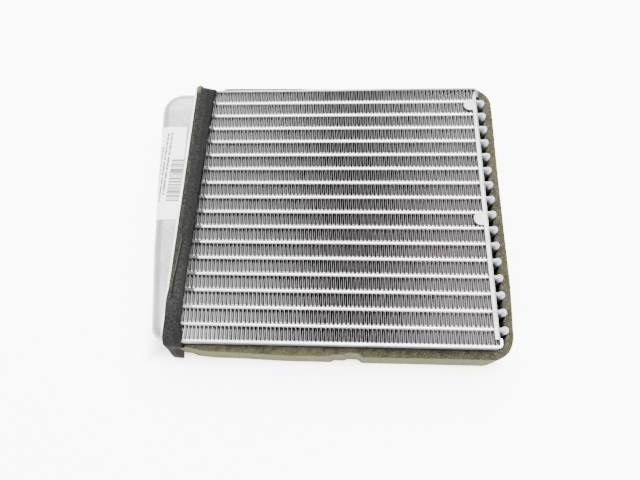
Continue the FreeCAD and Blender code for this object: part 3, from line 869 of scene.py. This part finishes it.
class CORE_OT_fins(bpy.types.Operator):
    """Folds a sheet between every two tubes, at the real pitch, in place of each fin's solid"""
    bl_idname = "core.fins"
    bl_label = "Folded fins"

    def execute(self, context):
        sizes = context.scene.core_fins
        low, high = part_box(FINS[0])
        depth = high.z - low.z
        half_depth = depth / 2 / MM
        material = fin_metal(*tones(context, "fin", "fin_edge", "crest_edge"), half_depth)
        tree = folded_fin_tree()
        given = ("Sheet", "Crest Width", "Crest Radius", "Braze", "Unevenness")
        values = {name: getattr(sizes, name.lower().replace(" ", "_")) for name in given}
        values |= {"Depth": depth, "Material": material}
        for number, node in enumerate(FINS):
            low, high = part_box(node)
            near_corner = node == FINS[-1]
            corner = Vector((low.x, low.y + sizes.side_gap, (low.z + high.z) / 2))
            mesh = grown_mesh("folded_" + node, tree, {
                **values, "Corner": corner, "Waves": sizes.waves, "Length": high.x - low.x,
                "Height": high.y - low.y - 2 * sizes.side_gap,
                "Lean": sizes.lean if near_corner else 0.0, "Seed": sizes.seed + number})
            if near_corner:
                corner.x = high.x + sizes.side_gap
                tail = grown_mesh("folded_tail", tree, {
                    **values, "Corner": corner, "Waves": 1, "Length": (END_FACE - FIN_END) * MM,
                    "Height": sizes.tail_height, "Crest Width": 0.4 * MM, "Crest Radius": 0.15 * MM,
                    "Braze": 0.1 * MM, "Unevenness": 0.0, "Lean": 0.0, "Seed": sizes.seed})
                joined = bmesh.new()
                joined.from_mesh(mesh)
                joined.from_mesh(tail)
                joined.to_mesh(mesh)
                joined.free()
            add_piece("folded_" + node, mesh, None, "fin", node)
        return {"FINISHED"}


class CORE_OT_belt(bpy.types.Operator):
    """Lays the charcoal foam belt round the header plate's pan"""
    bl_idname = "core.belt"
    bl_label = "Charcoal foam belt"

    def execute(self, context):
        sizes = in_millimetres(context.scene.core_foam)
        crease = box("header_foam_belt")[0].x + sizes.belt_crease
        material = charcoal_foam(
            *tones(context, "dark_foam", "dark_side", "worn_foam", "pale_foam"), crease)
        piece = add_piece("charcoal_belt", belt_mesh(sizes), material, "dark_foam", "header_foam_belt")
        return {"FINISHED"}


class CORE_OT_strip(bpy.types.Operator):
    """Lays the olive foam strip along the sides and round the turning bulbs"""
    bl_idname = "core.strip"
    bl_label = "Olive foam strip"

    def execute(self, context):
        material = olive_foam(*tones(context, "olive_cut", "olive_soiled", "olive_glint", "olive_skin"))
        mesh = strip_mesh(in_millimetres(context.scene.core_foam))
        piece = add_piece("olive_strip", mesh, material, "olive_foam", "edge_foam_strip")
        return {"FINISHED"}


class CORE_OT_tubes(bpy.types.Operator):
    """Gives the tubes and their turning bulbs their bright finish"""
    bl_idname = "core.tubes"
    bl_label = "Tubes"

    def execute(self, context):
        give_finish(tube_metal(*tones(context, "tube", "bulb", "residue_and_shade")), *TUBES)
        return {"FINISHED"}


class CORE_OT_plates(bpy.types.Operator):
    """Finishes the side plates, the end plate and the header plate"""
    bl_idname = "core.plates"
    bl_label = "Plates"

    def execute(self, context):
        plate, header = tones(context, "plate", "header")
        # Painted shade on the near plate's outer face and the outer part of its top; the far plate is a
        # darker copy of the plate aluminium, with painted shade growing to the right; painted shade on the
        # end plate's sides
        rolled = sheet_metal(
            "Rolled side aluminium", plate, 0.36, side_shade=scaled(plate, 0.45),
            outer_edge=-box("near_side_plate")[0].y, side_metal=0.4)
        darkened = sheet_metal(
            "Dull side aluminium", scaled(plate, 0.45), 0.5, side_shade=scaled(plate, 0.25), right_shade=0.4)
        pressed = sheet_metal(
            "Pressed end aluminium", scaled(plate, 0.5), 0.45, shade=0.9, side_shade=scaled(plate, 0.15))
        give_finish(rolled, "near_side_plate")
        give_finish(darkened, "far_side_plate")
        give_finish(pressed, "end_plate")
        give_finish(sheet_metal("Brazed header aluminium", header, 0.55), "header_plate")
        return {"FINISHED"}


class CORE_OT_tank(bpy.types.Operator):
    """Finishes the tank, its baffle and its port sockets"""
    bl_idname = "core.tank"
    bl_label = "Tank"

    def execute(self, context):
        tone, = tones(context, "tank")
        # Painted shade on the tank's sides and rounded edges
        satin = sheet_metal(
            "Satin tank aluminium", tone, 0.5, shade=0.66, patch_scale=45.0, side_shade=scaled(tone, 0.6),
            side_soft=1.2)
        turned = sheet_metal("Turned socket aluminium", tone, 0.32, lines=0.5)
        give_finish(satin, "tank")
        give_finish(sheet_metal("Baffle aluminium", tone, 0.5), "baffle")
        give_finish(turned, "port_collar_front", "port_collar_rear")
        return {"FINISHED"}


class CORE_OT_label(bpy.types.Operator):
    """Prints plain bars on the label"""
    bl_idname = "core.label"
    bl_label = "Label"

    def execute(self, context):
        give_finish(label_paper(*tones(context, "paper", "bars")), "label")
        return {"FINISHED"}


class CORE_OT_stage(bpy.types.Operator):
    """Sets the pale floor, the soft light and the camera"""
    bl_idname = "core.stage"
    bl_label = "Stage"

    def execute(self, context):
        stage = context.scene.core_stage
        half = stage.floor_size / 2
        mesh = bpy.data.meshes.new("floor")
        corners = [(-half, -half, 0), (half, -half, 0), (half, half, 0), (-half, half, 0)]
        mesh.from_pydata(corners, [], [(0, 1, 2, 3)])
        floor = new_object("floor", mesh)
        material, tree, surface, _, x, y, _ = new_material("Pale floor", {
            "Roughness": 0.9, "Base Color": (0.93, 0.93, 0.93), "Emission Strength": stage.glow,
            "Specular IOR Level": 0.1})
        away = sums(
            tree, "MAXIMUM", ramp(tree, sums(tree, "ABSOLUTE", x), 98, 114),
            ramp(tree, sums(tree, "ABSOLUTE", y), 82, 96))
        feed(surface, {"Emission Color": combined(tree, away, away, away)})
        mesh.materials.append(material)

        world = bpy.data.worlds.new("Soft sky")
        world.use_nodes = True
        feed(world.node_tree.nodes["Background"], {"Color": (1, 1, 1), "Strength": stage.sky})
        context.scene.world = world

        light = bpy.data.lights.new("Soft lamp", "AREA")
        light.shape = "RECTANGLE"
        light.size, light.size_y = stage.lamp_size, 0.75 * stage.lamp_size
        light.energy = stage.lamp
        lamp = new_object("Soft lamp", light)
        lamp.location = stage.lamp_place
        lamp.rotation_euler = (-lamp.location).to_track_quat("-Z", "Y").to_euler()

        camera = new_object("Camera", bpy.data.cameras.new("Camera"))
        right = Vector(stage.camera_right).normalized()
        up = Vector(stage.camera_up).normalized()
        back = right.cross(up).normalized()
        turn = Matrix((right, back.cross(right), back)).transposed()
        camera.matrix_world = Matrix.Translation(Vector(stage.camera_place)) @ turn.to_4x4()
        camera.data.lens = stage.lens
        camera.data.sensor_width = 36.0
        camera.data.clip_start, camera.data.clip_end = 0.01, 20.0
        context.scene.camera = camera
        return {"FINISHED"}


OPERATORS = (
    CORE_OT_fins, CORE_OT_belt, CORE_OT_strip, CORE_OT_tubes, CORE_OT_plates, CORE_OT_tank, CORE_OT_label,
    CORE_OT_stage,
)
GROUPS = (
    (FinSizes, "core_fins", "Fins"),
    (FoamSizes, "core_foam", "Foam"),
    (Finishes, "core_finishes", "Finishes"),
    (StageSizes, "core_stage", "Stage"),
)


class CORE_PT_panel(bpy.types.Panel):
    """Lists the pieces of the heater core and their sizes and colours"""
    bl_idname = "CORE_PT_panel"
    bl_label = "Heater Core"
    bl_space_type = "VIEW_3D"
    bl_region_type = "UI"
    bl_category = "Heater Core"

    def draw(self, context):
        layout = self.layout
        for operator in OPERATORS:
            layout.operator(operator.bl_idname)
        for group, attribute, title in GROUPS:
            column = layout.box()
            column.label(text=title)
            for name in group.__annotations__:
                column.prop(getattr(context.scene, attribute), name)


def register():
    for group, attribute, title in GROUPS:
        bpy.utils.register_class(group)
        setattr(bpy.types.Scene, attribute, bpy.props.PointerProperty(type=group, name=title))
    for item in (*OPERATORS, CORE_PT_panel):
        bpy.utils.register_class(item)


def unregister():
    for item in (CORE_PT_panel, *reversed(OPERATORS)):
        bpy.utils.unregister_class(item)
    for group, attribute, title in reversed(GROUPS):
        delattr(bpy.types.Scene, attribute)
        bpy.utils.unregister_class(group)


def main():
    register()
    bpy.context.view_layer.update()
    bpy.ops.core.fins()
    bpy.ops.core.belt()
    bpy.ops.core.strip()
    bpy.ops.core.tubes()
    bpy.ops.core.plates()
    bpy.ops.core.tank()
    bpy.ops.core.label()
    bpy.ops.core.stage()
    bpy.context.view_layer.update()


if __name__ == "__main__":
    main()
